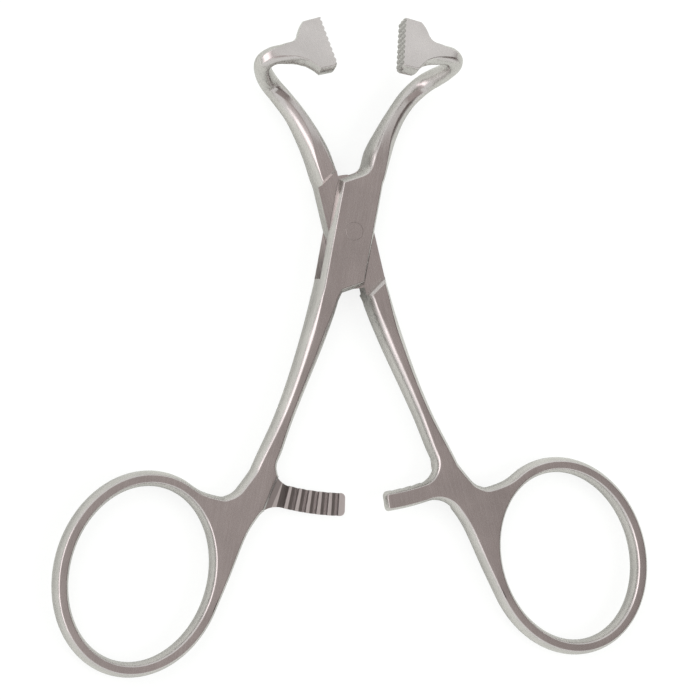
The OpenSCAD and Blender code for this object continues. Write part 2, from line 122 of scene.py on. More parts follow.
class ClampSizes(bpy.types.PropertyGroup):
    """Sizes of the clamp."""

    lock_w: length("Lock width", "Width of the box lock across the parting lines", 7.0)
    lock_t: length("Lock thickness", "Thickness of the box lock from face to face", 5.0)
    slot_t: length("Slot", "Thickness of the slot that the tongue turns in", 2.4)
    tongue_play: length("Tongue play", "Free play of the tongue on each face", 0.05)
    pin_d: length("Pin diameter", "Diameter of the pivot pin", 2.6)
    pin_play: length("Pin play", "Running clearance of the tongue round the pin", 0.04)
    crotch_down: length("Lower crotch", "Pivot to where the shanks part", 9.2)
    crotch_up: length("Upper crotch", "Pivot to where the jaws part", 9.0)
    shoulder_slope: angle("Shoulder slope", "Slope of the shoulders of the lock", 30)
    shoulder_gap: length("Shoulder gap", "Gap between a shoulder and its plate when shut", 0.2)
    shank_w_top: length("Shank, top", "Width of a shank just below the lock", 3.7)
    shank_w_mid: length("Shank, middle", "Width of a shank at its slimmest place", 2.6)
    shank_w_root: length("Shank, ratchet", "Width of a shank where the ratchet arm leaves it", 3.3)
    shank_x_root: length("Shank spread", "Middle of the shank sideways of the centre line at the ratchet", 6.35)
    ring_x: length("Ring, sideways", "Centre of a finger ring sideways of the centre line", 21.45)
    ring_down: length("Ring, down", "Centre of a finger ring below the pivot", 53.6)
    hole_w: length("Ring hole width", "Width of the hole of a finger ring", 20.3)
    hole_l: length("Ring hole length", "Length of the hole of a finger ring", 25.1)
    ring_lean: angle("Ring lean", "Lean of a finger ring towards the lock", 8)
    rim_w: length("Rim width", "Width of the rim of a finger ring", 2.2)
    ring_t: length("Ring thickness", "Thickness of a finger ring", 3.4)
    arm_r: length("Arm radius", "Distance of the middle of the ratchet arms from the pivot", 39.05)
    box_arm_w: length("Box arm width", "Width of the arm on the half with the box", 3.3)
    tongue_arm_w: length("Tongue arm width", "Width of the arm on the half with the tongue", 2.9)
    box_arm_reach: length("Box arm reach", "Reach of the box half's arm past the centre line", 6.95)
    tongue_arm_reach: length("Tongue arm reach", "Reach of the tongue half's arm past the centre line", 4.4)
    arm_fillet: length("Arm fillet", "Radius of the fillet between an arm's upper edge and the shank", 2.6)
    tip_relief: length("Tip seat", "How far the seat for the other arm's tip is milled into the shank", 1.45)
    first_tooth: length("First tooth", "Distance of the first tooth from the centre line", 2.95)
    tooth_gap: length("Tooth gap", "Gap between the tooth tips of the two arms", 0.2)
    tooth_pitch: length("Tooth pitch", "Pitch of the ratchet teeth", 1.6)
    tooth_depth: length("Tooth depth", "Depth of the ratchet teeth", 0.5)
    tooth_land: length("Tooth land", "Flat land on top of each tooth", 0.6)
    jaw_l: length("Jaw length", "Pivot to the middle of the pads", 26.7)
    bend_out: length("Bend", "How far the bend of a jaw stands out", 9.0)
    pad_rise: length("Pad rise", "Height of the middle of a pad above the middle plane", 8.3)
    bend_w: length("Bend width", "Width of a jaw at its bend", 2.6)
    pad_l: length("Pad length", "Length of the gripping edge", 8.0)
    pad_t: length("Pad thickness", "Thickness of a pad", 2.7)
    pad_tilt: angle("Pad tilt", "Tilt of a pad about the crosswise axis", 20)
    pad_depth: length("Pad depth", "Gripping edge back to the pad's shoulders", 2.7)
    pad_past: length("Pad reach", "How far the gripping edge reaches past the centre line", 0.2)
    serration_pitch: length("Serration pitch", "Pitch of the grooves across the gripping edge", 0.84)
    serration_depth: length("Serration depth", "Depth of the grooves in the gripping edge", 0.16)
    opening: angle("Opening", "Angle between the two halves as the clamp lies", 25)


class SteelFinish(bpy.types.PropertyGroup):
    """Finish of the steel."""

    steel: bpy.props.FloatVectorProperty(name="Steel", description="Colour of the satin steel", subtype="COLOR",
                                         size=3, min=0.0, max=1.0, default=(0.56, 0.535, 0.52))
    roughness: bpy.props.FloatProperty(name="Roughness", description="Blur of the satin steel's reflections",
                                       default=0.26, min=0.0, max=1.0, subtype="FACTOR")
    grain: bpy.props.FloatProperty(name="Grain", description="Strength of the fine grinding lines",
                                   default=0.4, min=0.0, max=1.0, subtype="FACTOR")


class Millimetres:
    """The panel's lengths in millimetres, and its angles in radians, under the same names."""

    def __init__(self, sizes):
        for name, prop in sizes.bl_rna.properties.items():
            if prop.type == "FLOAT":
                value = getattr(sizes, name)
                setattr(self, name, value / MM if prop.unit == "LENGTH" else value)


def smooth_line(points, steps):
    """Spline through the points. Each span is the cubic that leaves a point along the chord of its two neighbours."""
    p = np.asarray(points, float)
    ends = np.vstack([p[:1], p, p[-1:]])
    n = len(p) - 1
    a, b, c, d = (ends[k:k + n][:, None, :] for k in range(4))
    t = (np.arange(steps) / steps)[None, :, None]
    spans = 0.5 * (2 * b + (c - a) * t + (2 * a - 5 * b + 4 * c - d) * t**2 + (3 * b - a - 3 * c + d) * t**3)
    return np.vstack([spans.reshape(-1, p.shape[1]), p[-1:]])


def unit(v):
    """Vectors divided by their lengths."""
    return v / np.linalg.norm(v, axis=-1, keepdims=True)


def ease(t):
    """Half a cosine wave, from 0 to 1 as t goes from 0 to 1, and level beyond."""
    return (1 - np.cos(np.pi * np.clip(t, 0, 1))) / 2


def root_down(s):
    """How far below the pivot the shank ends."""
    return s.arm_r - ROOT_UP


def half_thickness(s, y):
    """Half the thickness: level through the lock, then falling in a straight line to the ring."""
    root = root_down(s)
    t = np.clip((-y - s.crotch_down) / (root - s.crotch_down), 0, 1)
    return (s.lock_t + (s.ring_t - s.lock_t) * t) / 2


def flank_run(s, y):
    """How far the rounded flank runs in under the flat face: least at the lock and ring, most in the shank."""
    return np.interp(-y, [s.crotch_down, RUN_FULL, root_down(s) + 4], [LOCK_RUN, SHANK_RUN, RING_RUN])


def shank_edge(s, f, side):
    """Edge of the shank at f, from 0 at the crotch to 1 at the ratchet: middle line plus half the width."""
    y = -(s.crotch_down + 1 + (root_down(s) - s.crotch_down - 1) * f)
    top_x = (s.lock_w / 2 + 0.1) / 2
    x = top_x + (s.shank_x_root - top_x) * f**SPREAD_POWER
    w = np.where(f < SLIMMEST, s.shank_w_top + (s.shank_w_mid - s.shank_w_top) * ease(f / SLIMMEST),
                 s.shank_w_mid + (s.shank_w_root - s.shank_w_mid) * ease((f - SLIMMEST) / (1 - SLIMMEST)))
    return np.stack([x + side * w / 2, y], -1)


def oval(s, a, b, t):
    """Points of the finger ring's oval with half axes a and b, at the angles t in degrees."""
    t = np.radians(t)
    u, v = a * np.cos(t), b * np.sin(t)
    c, k = math.cos(s.ring_lean), math.sin(s.ring_lean)
    return np.stack([s.ring_x + u * c - v * k, -s.ring_down + u * k + v * c], -1)


def jaw_stations(s):
    """Middle line of the jaw with half width, half thickness, flank run and the way its front face looks."""
    neck = -s.bend_out + 3
    up = (0, math.sin(s.pad_tilt), math.cos(s.pad_tilt))
    w = s.bend_w / 2
    rows = [
        (-1.85, s.crotch_up, 0, 1.85, s.lock_t / 2, 0.75, 0, 0, 1),
        (-2.2, s.crotch_up + 3, 0, 1.85, 2.35, 1, 0, 0, 1),
        (-2.95, s.crotch_up + 6.1, 0, 1.6, 2.1, 1.05, 0.2, 0, 1),
        (-3.95, s.crotch_up + 9.1, 0, 1.4, 1.85, 1, 0.25, 0, 1),
        (-5.3, s.jaw_l - 5.8, 0, 1.4, 1.7, 1, 0.1, 0, 1),
        (-s.bend_out + 2.05, s.jaw_l - 3.4, 1.1, 1.4, 1.45, 1, -0.25, -0.2, 0.95),
        (-s.bend_out + 0.45, s.jaw_l - 1.6, s.pad_rise - 4, 1.3, 1.25, 1, -0.7, -0.4, 0.55),
        (-s.bend_out + 0.1, s.jaw_l - 0.4, s.pad_rise - 1.9, w, w - 0.1, 0.95, -0.92, -0.1, 0.35),
        (neck - 1.75, s.jaw_l + 0.15, s.pad_rise - 0.65, w, w - 0.1, 0.8, -0.5, 0.2, 0.85),
        (neck, s.jaw_l + 0.05, s.pad_rise - 0.42, w + 0.1, w, 0.5, -0.03, 0.34, 0.94),
        (neck + 1.9, s.jaw_l - 0.1, s.pad_rise - 0.3, 2.0, s.pad_t / 2, 0.3, *up),
        (s.pad_past - s.pad_depth + 0.2, s.jaw_l, s.pad_rise - 0.16, s.pad_l / 2 - 0.1, s.pad_t / 2, 0.25, *up),
        (s.pad_past - 0.4, s.jaw_l, s.pad_rise, s.pad_l / 2, s.pad_t / 2, 0.25, *up),
    ]
    tip = (s.pad_past, s.jaw_l + 0.14, s.pad_rise - 0.05, s.pad_l / 2 - 0.15, s.pad_t / 2, 0.25, *up)
    line = smooth_line(rows, JAW_STEPS)

    # From station 9 on a table gives the half width: the neck stays slim for longer than in the spline
    at = np.arange(len(line)) / JAW_STEPS
    wide = s.pad_l / 2
    table = np.interp(at, [9, 9.5, 9.8, 10.2, 11, 12], [w + 0.1, w + 0.17, w + 0.33, 2.1, wide - 0.08, wide])
    line[:, 3] = np.where(at > 9, table, line[:, 3])
    return np.vstack([line, [tip]])


def jaw_edges(s):
    """Both edges of the jaw from its root to the tip, as arrays of point, up, half thickness and run. It sets out
    along y from the lock and runs along x through the pad."""
    j = jaw_stations(s)
    p = j[:, :3]
    along = np.empty_like(p)
    along[1:-1] = p[2:] - p[:-2]
    along[0], along[-1 - JAW_STEPS:] = (0, 1, 0), (1, 0, 0)
    along = unit(along)
    share = ease(np.arange(JAW_STEPS) / JAW_STEPS)[:, None]
    along[:JAW_STEPS] = unit((1 - share) * along[0] + share * along[:JAW_STEPS])
    up = j[:, 6:9]
    up = unit(up - (up * along).sum(1, keepdims=True) * along)
    across = unit(np.cross(along, up))
    return [(p + side * j[:, 3:4] * across, up, j[:, 4], j[:, 5]) for side in (1, -1)]


def flat_chain(s, xy):
    """Edge points of the middle plane, as arrays of point, up, half thickness and run."""
    xy = np.asarray(xy, float)
    up = np.tile((0.0, 0.0, 1.0), (len(xy), 1))
    return np.column_stack([xy, np.zeros(len(xy))]), up, half_thickness(s, xy[:, 1]), flank_run(s, xy[:, 1])


def polar(radius, degrees):
    """Points at a radius about the origin, at angles in degrees."""
    a = np.radians(degrees)
    return np.stack([radius * np.cos(a), radius * np.sin(a)], -1)


def arc(radius, start, stop, n=64):
    """Points of an arc about the pivot, between two angles in degrees."""
    return polar(radius, np.linspace(start, stop, n))


def step_x(s, y):
    """Where the shank's inner edge would run straight on past the ratchet arm."""
    root = root_down(s)
    top = s.shank_x_root - s.shank_w_root / 2
    low = s.ring_x - s.hole_w / 2 - s.rim_w - WEB_EDGE[0]
    return top + (low - top) * (-y - root) / (s.ring_down - WEB_EDGE[1] - root)


def arm_edges(s, wide, reach):
    """Both edges of a ratchet arm. The upper one leaves the shank by a fillet, follows an arc about the pivot and
    rounds half the tip. The lower one comes back from the tip in the same way, by a larger fillet. Each point has a
    share that goes from 0 on the shank to 1 on the arm. The last value is a point of the lower fillet, for the slope
    at which the next edge sets out."""
    tip = -90 - math.degrees(math.asin(reach / s.arm_r)) + math.degrees(TIP_ROUND / s.arm_r)
    fillet, low_fillet = s.arm_fillet, 1.4 * s.arm_fillet
    leave, low_leave = 7, 22  # degrees at which the fillets leave the shank
    r_up, r_low = s.arm_r - wide / 2, s.arm_r + wide / 2
    x = step_x(s, 4 - s.arm_r) - fillet
    centre = np.array([x, -math.sqrt((r_up - fillet)**2 - x * x)])
    a = math.degrees(math.atan2(centre[1], centre[0]))
    share = np.linspace(0, 1, FILLET_STEPS + 1)
    quarter = np.linspace(0, 90, TIP_STEPS + 1)
    upper = np.vstack([centre + polar(fillet, leave + (a - leave) * share), arc(r_up, a, tip, ARM_STEPS + 1)[1:],
                       polar(r_up + TIP_ROUND, tip) + polar(TIP_ROUND, tip + 180 + quarter[1:])])
    x = s.ring_x - s.hole_w / 2 - s.rim_w - 2.9 - low_fillet
    centre = np.array([x, -math.sqrt((r_low + low_fillet)**2 - x * x)])
    a = math.degrees(math.atan2(centre[1], centre[0]))
    lower = np.vstack([polar(r_low - TIP_ROUND, tip) + polar(TIP_ROUND, tip + 270 + quarter),
                       arc(r_low, tip, a, ARM_STEPS + 1)[1:],
                       centre + polar(low_fillet, a + 180 + (low_leave - a - 180) * share[1:])])
    before = centre + polar(low_fillet, low_leave + (a + 180 - low_leave) / 4)
    up_share = np.concatenate([share, np.ones(len(upper) - len(share))])
    low_share = np.concatenate([np.ones(len(lower) - FILLET_STEPS), 1 - share[1:]])
    return (upper, up_share), (lower, low_share), before


def arm_chain(s, edge):
    """Edge points of an arm: its flank run goes over from the shank's to its own with the share."""
    point, up, half, run = flat_chain(s, edge[0])
    return point, up, half, run + (ARM_RUN - run) * edge[1]


def joined(chains):
    """Several chains of edge points as one."""
    return [np.concatenate(parts) for parts in zip(*chains)]


def inward(point, up):
    """Mitred inward direction at each point of a closed chain: the sum of its two sides' normals, over 1 + their
    cosine."""
    before = unit(np.cross(point - np.roll(point, 1, 0), up))
    after = unit(np.cross(np.roll(point, -1, 0) - point, up))
    cosine = (before * after).sum(1, keepdims=True)
    return (before + after) / (1 + np.maximum(cosine, -0.4))


def edge_rows(point, up, half, run, inside):
    """Rows of the edge band. Across the edge the flank is part of an oval: inset run * (1 - cos a) / (1 - cos 65)
    and height half * sin a / sin 65. A short parabola then rounds the ridge over to the flat face."""
    last = RIDGE_ANGLE - RIDGE_MARGIN
    a = np.linspace(-last, last, FLANK_ROWS)
    inset = run[:, None] * (1 - np.cos(a)) / (1 - math.cos(RIDGE_ANGLE))
    height = half[:, None] * np.sin(a) / math.sin(RIDGE_ANGLE)
    t = np.arange(1, RIDGE_ROWS + 1) / RIDGE_ROWS
    sign = np.sign(run)[:, None]
    top_inset = ((1 - t)**2 * inset[:, -1:] + 2 * t * (1 - t) * run[:, None]
                 + t**2 * (run[:, None] + sign * RIDGE_ROUND))
    top_height = (1 - t)**2 * height[:, -1:] + (1 - (1 - t)**2) * half[:, None]
    inset = np.hstack([top_inset[:, ::-1], inset, top_inset])
    height = np.hstack([-top_height[:, ::-1], height, top_height])
    return point[:, None] + inside[:, None] * inset[..., None] + up[:, None] * height[..., None]


def band_faces(first, count, rows):
    """Quads round a closed band of rows."""
    i = np.arange(count)[:, None]
    r = np.arange(rows - 1)[None, :]
    a = first + i * rows + r
    b = first + (i + 1) % count * rows + r
    return np.stack([a, b, b + 1, a + 1], -1).reshape(-1, 4)


def zipped(one, two):
    """Triangles between two chains of vertex numbers of any lengths, stepping along whichever is behind."""
    m, n = len(one) - 1, len(two) - 1
    share = np.concatenate([np.arange(1, m + 1) / max(m, 1), np.arange(1, n + 1) / max(n, 1)])
    order = np.argsort(share, kind="stable")
    on_one = order < m
    i, j = np.cumsum(on_one) - on_one, np.cumsum(~on_one) - ~on_one
    third = np.where(on_one, one[np.minimum(i + 1, m)], two[np.minimum(j + 1, n)])
    return np.stack([one[i], two[j], third], -1)


def strip_faces(left, right):
    """Quads between two chains of vertex numbers of the same length."""
    return np.stack([left[:-1], right[:-1], right[1:], left[1:]], -1)


def crotch_fillet(s, size):
    """Parabola that eases the jaw's inner edge over to the slanted shoulder, from the jaw downwards."""
    c, k = math.cos(s.shoulder_slope), math.sin(s.shoulder_slope)
    back = 0.22 * size
    corner = np.array([-back, s.crotch_up + back * k / c])
    t = np.linspace(0, 1, 65)[:, None]
    return ((1 - t)**2 * (corner + (0, size)) + 2 * t * (1 - t) * corner
            + t**2 * (corner + np.array([c, -k]) * size))


def forging(s, wide, reach, fillet):
    """Vertices and faces of one half as forged: ring, shank, ratchet arm, lock and jaw in one closed skin, before
    the cuts. An edge band runs round the outline and another round the finger hole, and strips close the faces."""
    side_x = s.lock_w / 2
    slope = math.tan(s.shoulder_slope)
    rim_a, rim_b = s.hole_w / 2 + s.rim_w, s.hole_l / 2 + s.rim_w
    merge_at, web_at = 188, 100  # degrees on the rim where the web's inner and outer edges meet it
    f = np.arange(SHANK_STEPS + 1) / SHANK_STEPS
    inner_n = SHANK_STEPS * 16 // 18
    outer, inner = shank_edge(s, f, 1), shank_edge(s, f[:inner_n + 1], -1)
    before = shank_edge(s, np.array([1 - 1 / 18, 1.0]), 1)

    # A circle of radius 3.4, set off from the corner between shank and rim, rounds the web's outer edge
    web_c = np.array([s.ring_x - rim_a + 2.45, -s.ring_down + rim_b + 0.35])
    web = web_c + 1.2 / math.cos(math.radians(32)) * polar(1, 52) + polar(3.4, np.array([202, 222, 242, 262]))
    outer_web = smooth_line([*before, *web, oval(s, rim_a + 0.25, rim_b + 0.25, 112), oval(s, rim_a, rim_b, web_at)],
                            OUTER_WEB_STEPS)
    outer_path = np.vstack([outer[:-1], outer_web[OUTER_WEB_STEPS:]])
    low = [s.ring_x - rim_a, -s.ring_down]
    upper, lower, arm_before = arm_edges(s, wide, reach)
    inner_web = smooth_line([arm_before, lower[0][-1], (low[0] - 2, low[1] + 7.8), (low[0] - 0.7, low[1] + 1.6),
                             oval(s, rim_a, rim_b, merge_at)], INNER_WEB_STEPS)[INNER_WEB_STEPS + 1:]
    rim = oval(s, rim_a, rim_b, np.linspace(web_at, merge_at - 360, RIM_STEPS + 1)[1:-1])

    # The lock's two sides. On its right the jaw's edge is led onto the fillet of the crotch
    eased = crotch_fillet(s, fillet)
    past = eased[eased[:, 1] < s.crotch_up - 0.02 * fillet]
    lock_right = [*past[[0, len(past) // 2, -1]], (side_x, s.crotch_up - side_x * slope), (side_x, 0),
                  (side_x, 0.6 - s.crotch_down)]
    lock_left = [(-side_x - 0.17, s.crotch_up - 0.35), (-side_x - 0.12, s.crotch_up - 0.8),
                 (-side_x, s.crotch_up - 1.4), (-side_x, 0), (-side_x, side_x * slope - s.crotch_down),
                 (-0.35, 0.35 * slope - s.crotch_down)]
    jaw_right, jaw_left = jaw_edges(s)
    y, lower_jaw = jaw_right[0][:, 1], slice(4 * JAW_STEPS)
    on_fillet = np.interp(y, eased[::-1, 1], eased[::-1, 0])
    shift = on_fillet - np.interp(eased[0, 1], y[lower_jaw], jaw_right[0][lower_jaw, 0])
    jaw_right[0][:, 0] = np.where(y < eased[0, 1], on_fillet,
                                  jaw_right[0][:, 0] + shift * (1 - ease((y - eased[0, 1]) / 2)))
    jaw_n = len(jaw_right[0])
    flip = [a[::-1] for a in jaw_right]
    left = joined([[a[::-1] for a in jaw_left], flat_chain(s, lock_left), flat_chain(s, inner),
                   arm_chain(s, upper), arm_chain(s, lower), flat_chain(s, inner_web)])

    # The whole edge: down the right side, round the rim and back up the left side
    point, up, half, run = joined([flip, flat_chain(s, lock_right), flat_chain(s, outer_path), flat_chain(s, rim),
                                   [a[::-1] for a in left]])
    count = len(point)
    n_left = len(left[0])
    inside = inward(point, up)
    inside[0] = unit(point[-1] - point[0])
    inside[-1] = -inside[0]
    edge = edge_rows(point, up, half, run, inside)
    rows = edge.shape[1]

    # Numbers of the points at which the strips of the flat faces begin and end, then the finger hole's band
    apex = jaw_n + len(lock_right) + SHANK_STEPS + 4 * OUTER_WEB_STEPS
    arm_a = jaw_n + len(lock_left) + inner_n + 1
    arm_tip = arm_a + len(upper[0]) - 1
    level = arm_tip + len(lower[0])
    turn_r = jaw_n + len(lock_right) + SHANK_STEPS + 2 * OUTER_WEB_STEPS // 3
    merge = count - n_left
    web_left = np.array([count - 1 - i for i in range(level, n_left)])
    inner_t = np.linspace(merge_at - 2, 129, len(web_left) - 2)
    web_in = oval(s, rim_a - RING_RUN, rim_b - RING_RUN, inner_t)
    loop_xy = np.vstack([point[apex:merge + 1, :2], web_in])
    c, k = math.cos(s.ring_lean), math.sin(s.ring_lean)
    d = loop_xy - (s.ring_x, -s.ring_down)
    t = np.arctan2((-d[:, 0] * k + d[:, 1] * c) / rim_b, (d[:, 0] * c + d[:, 1] * k) / rim_a)
    hole_xy = oval(s, s.hole_w / 2, s.hole_l / 2, np.degrees(t))
    hole_p = np.column_stack([hole_xy, np.zeros(len(hole_xy))])
    hole_up = np.tile((0.0, 0.0, 1.0), (len(hole_p), 1))
    hole_run = np.full(len(hole_p), -RING_RUN)
    hole = edge_rows(hole_p, hole_up, np.full(len(hole_p), s.ring_t / 2), hole_run, inward(hole_p, hole_up))
    hole_0 = count * rows
    in_0 = hole_0 + len(hole_p) * rows
    web_half = half_thickness(s, web_in[:, 1])
    web_points = np.vstack([np.column_stack([web_in, -web_half]), np.column_stack([web_in, web_half])])

    faces = [band_faces(0, count, rows), band_faces(hole_0, len(hole_p), rows)[:, ::-1]]
    triangles = []
    right_i = np.arange(arm_a + 1)
    left_i = count - 1 - right_i
    at_a, at_b = count - 1 - np.array([arm_a]), count - 1 - np.array([level])
    arm_up = count - 1 - np.arange(arm_a, arm_tip + 1)
    arm_low = count - 1 - np.arange(level, arm_tip, -1)
    for r, first, turn in ((rows - 1, in_0 + len(web_in), 1), (0, in_0, -1)):
        web_i = first + np.arange(len(web_in))
        web_chain = np.concatenate([[apex * rows + r], web_i[::-1], [merge * rows + r]])
        loop = np.concatenate([np.arange(apex, merge + 1) * rows + r, web_i])
        ring = hole_0 + np.arange(len(loop)) * rows + r
        for one, two in ((right_i * rows + r, left_i * rows + r), (web_chain, web_left * rows + r),
                         (np.append(loop, loop[0]), np.append(ring, ring[0]))):
            faces.append(strip_faces(one, two)[:, ::turn])
        for one, two in ((np.arange(arm_a, turn_r + 1), at_a), (np.array([turn_r]), np.append(at_a, at_b)),
                         (np.arange(turn_r, apex + 1), at_b), (arm_low, arm_up)):
            triangles.append(zipped(one * rows + r, two * rows + r)[:, ::turn])
    vertices = np.vstack([edge.reshape(-1, 3), hole.reshape(-1, 3), web_points])
    return vertices, [*np.vstack(faces).tolist(), *np.vstack(triangles).tolist()]


def mesh_object(name, vertices, faces):
    """Mesh object from arrays, with doubles merged and faces turned outwards."""
    mesh = bpy.data.meshes.new(name)
    mesh.from_pydata(np.asarray(vertices).tolist(), [], [list(map(int, f)) for f in faces])
    work = bmesh.new()
    work.from_mesh(mesh)
    bmesh.ops.remove_doubles(work, verts=work.verts, dist=1e-5)
    bmesh.ops.recalc_face_normals(work, faces=work.faces)
    work.to_mesh(mesh)
    work.free()
    obj = bpy.data.objects.new(name, mesh)
    bpy.context.scene.collection.objects.link(obj)
    return obj


def prism_faces(n):
    """Faces of a prism whose vertices are two like outlines of n points, the lower one first."""
    i = np.arange(n)
    walls = np.stack([i, (i + 1) % n, (i + 1) % n + n, i + n], -1).tolist()
    return [list(range(n))[::-1], list(range(n, 2 * n)), *walls]


def prism(name, outline, low, high, turn=None):
    """Straight prism over a closed outline, from height low to height high, and then turned by a matrix."""
    xy = np.asarray(outline, float)
    n = len(xy)
    vertices = np.vstack([np.column_stack([xy, np.full(n, low)]), np.column_stack([xy, np.full(n, high)])])
    if turn is not None:
        vertices = vertices @ np.array(turn.to_3x3()).T + np.array(turn.translation)
    return mesh_object(name, vertices, prism_faces(n))


def bore_tool(radius):
    """Cutter for the pin's bore."""
    return prism("bore_tool", arc(radius, 0, 360, BORE_STEPS + 1)[:-1], -FAR, FAR)


def slot_tool(radius, thick):
    """Cutter for the slot: a disk about the pivot, opened out on the two sides where the other half passes."""
    over = SLOT_OVER
    lean = math.degrees(math.asin(over / radius))
    outline = np.vstack([[(over, -FAR)], arc(radius, -90 + lean, 0), [(FAR, 0), (FAR, FAR), (-over, FAR)],
                         arc(radius, 90 + lean, 180), [(-FAR, 0), (-FAR, -FAR)]])
    return prism("slot_tool", outline, -thick / 2, thick / 2)


def shoulder_tool(s, side):
    """Cutter for the room of one plate: all that lies between the two slanted shoulders, chamfered at their tops."""
    c, k = math.cos(s.shoulder_slope), math.sin(s.shoulder_slope)
    top = s.lock_t / 2
    height = [s.slot_t / 2 - s.tongue_play, top - SHOULDER_CHAMFER, top + 1]
    back = s.shoulder_gap + np.array([0, 0, 1 + SHOULDER_CHAMFER])
    rows = []
    for b, z in zip(back, height):
        low, up = s.crotch_down * c + b, s.crotch_up * c + b
        corners = np.array([(-FAR, -low), (FAR, -low), (FAR, up), (-FAR, up)]) @ np.array([(c, k), (-k, c)])
        rows.append(np.column_stack([corners, np.full(4, z * side)]))
    walls = [(n + i, n + (i + 1) % 4, n + (i + 1) % 4 + 4, n + i + 4) for n in (0, 4) for i in range(4)]
    faces = [(3, 2, 1, 0), (8, 9, 10, 11), *walls]
    return mesh_object("shoulder_tool", np.vstack(rows), faces)


def corner_tool(s, radius, side):
    """Cutter for the tongue's corner that would reach past the round end of the slot."""
    reach = max(s.crotch_down, s.crotch_up) + 1
    lean = [math.degrees(math.asin(SLOT_OVER / r)) for r in (reach, radius)]
    outline = np.vstack([arc(reach, 0, 90 + lean[0]), arc(radius, 90 + lean[1], 0)])
    return prism("corner_tool", outline * side, -FAR, FAR)


def groove_tools(s):
    """Cutters for the pad: combs of V grooves across the gripping edge and along it."""
    turn = Matrix.Translation((s.pad_past, s.jaw_l, s.pad_rise)) @ Matrix.Rotation(-s.pad_tilt, 4, "X")
    tools = []
    for name, n, depth, wide, reach, spin in (
            ("groove_tool", int((s.pad_l - 0.5) / s.serration_pitch / 2) * 2 + 1, s.serration_depth, 0.55,
             s.pad_t / 2 + 0.5, Matrix.Identity(4)),
            ("length_groove_tool", 3, s.serration_depth * 0.8, 0.5, s.pad_l / 2 + 0.5,
             Matrix.Rotation(math.radians(90), 4, "X"))):
        lift, back = 0.03, 0.5
        half = s.serration_pitch * wide * (depth + lift) / (depth + 0.1)
        y = (np.arange(n) - (n - 1) / 2) * s.serration_pitch
        teeth = np.stack([np.stack([np.full(n, lift), y - half], -1), np.stack([np.full(n, -depth), y], -1),
                          np.stack([np.full(n, lift), y + half], -1)], 1).reshape(-1, 2)
        outline = np.vstack([[(back, y[0] - half)], teeth, [(back, y[-1] + half)]])
        tools.append(prism(name, outline, -reach, reach, turn @ spin))
    return tools


def crossing(s, radius, past):
    """Angle in degrees at which a circle about the pivot meets the line at the given distance past the shank's
    inner edge."""
    x = 0.0
    for _ in range(8):
        x = step_x(s, -math.sqrt(radius**2 - x * x)) + past
    return -math.degrees(math.acos(x / radius))


def cutter_heights(s):
    """Heights between which the cutters of the arm's face work."""
    return 5.5 - s.arm_r, WEB_EDGE[1] - 1.6 - s.ring_down


def arm_tool(s, step, seat):
    """Cutter that mills one face of an arm to half the thickness, as far as the given step from the shank. With a
    seat, it also reaches into the shank along two arcs about the pivot, for the tip of the other arm."""
    top, low = cutter_heights(s)
    outline = [[(-FAR, top), (step_x(s, top) - step, top)]]
    if seat:
        for side, first, last in ((-1, 0, seat), (1, seat, 0)):
            r = s.arm_r + side * (s.box_arm_w / 2 + TIP_CLEAR)
            outline.append(polar(r, np.linspace(crossing(s, r, first), crossing(s, r, last), 12)))
    outline.append([(step_x(s, low) - step, low), (-FAR, low)])
    return prism("arm_tool", np.vstack(outline), -s.tooth_gap / 2, FAR)


def roll_tool(s):
    """Cutter that rolls the shank's face over to the box half's arm: a quarter of an ellipse, carried along the
    arm's step."""
    top, low = cutter_heights(s)
    start = np.array([step_x(s, top) - BOX_STEP, top, 0])
    along = np.array([step_x(s, low) - BOX_STEP, low, 0]) - start
    size = np.linalg.norm(along)
    ahead = along / size
    turn = Matrix(((-ahead[1], 0, ahead[0], start[0]), (ahead[0], 0, ahead[1], start[1]), (0, 1, 0, 0), (0, 0, 0, 1)))
    a = np.radians(np.linspace(0, 90, 16))
    floor, rise = -s.tooth_gap / 2, (s.ring_t + s.tooth_gap) / 2 + 0.02
    curve = np.stack([STEP_ROLL * (1 - np.cos(a)), floor + rise * np.sin(a)], -1)
    return prism("roll_tool", np.vstack([curve, [(STEP_ROLL, 4), (-1, 4), (-1, floor)]]), 0, size, turn)


def tooth_tool(s, count):
    """Cutters for the tooth gaps: wedges across the arm, each with a long slope towards the tip and a steep wall
    that faces the shank. They are turned about the pivot by one pitch each, in one mesh."""
    slope = s.tooth_pitch - s.tooth_land
    c = TOOTH_ROUND
    section = np.array([(c, 0.5), (c, 0), (0.3 * c, -0.12 * c), (-c, -s.tooth_depth * c / slope - 0.3 * c),
                        (-slope, -s.tooth_depth), (-slope, -0.5 * c), (-slope - 0.4 * c, 0), (-slope - 0.4 * c, 0.5)])
    n = len(section)
    turn = (s.first_tooth - np.arange(count) * s.tooth_pitch) / s.arm_r
    r = s.arm_r + np.array([-3.0, 3.0])
    x = np.tile(section[:, 0], 2)
    y = -np.repeat(r, n)
    z = np.tile(section[:, 1], 2) - s.tooth_gap / 2
    cos, sin = np.cos(turn)[:, None], np.sin(turn)[:, None]
    vertices = np.stack([x * cos - y * sin, x * sin + y * cos, np.broadcast_to(z, (count, 2 * n))], -1)
    faces = [[v + k * 2 * n for v in face] for k in range(count) for face in prism_faces(n)]
    return mesh_object("tooth_tool", vertices.reshape(-1, 3), faces)


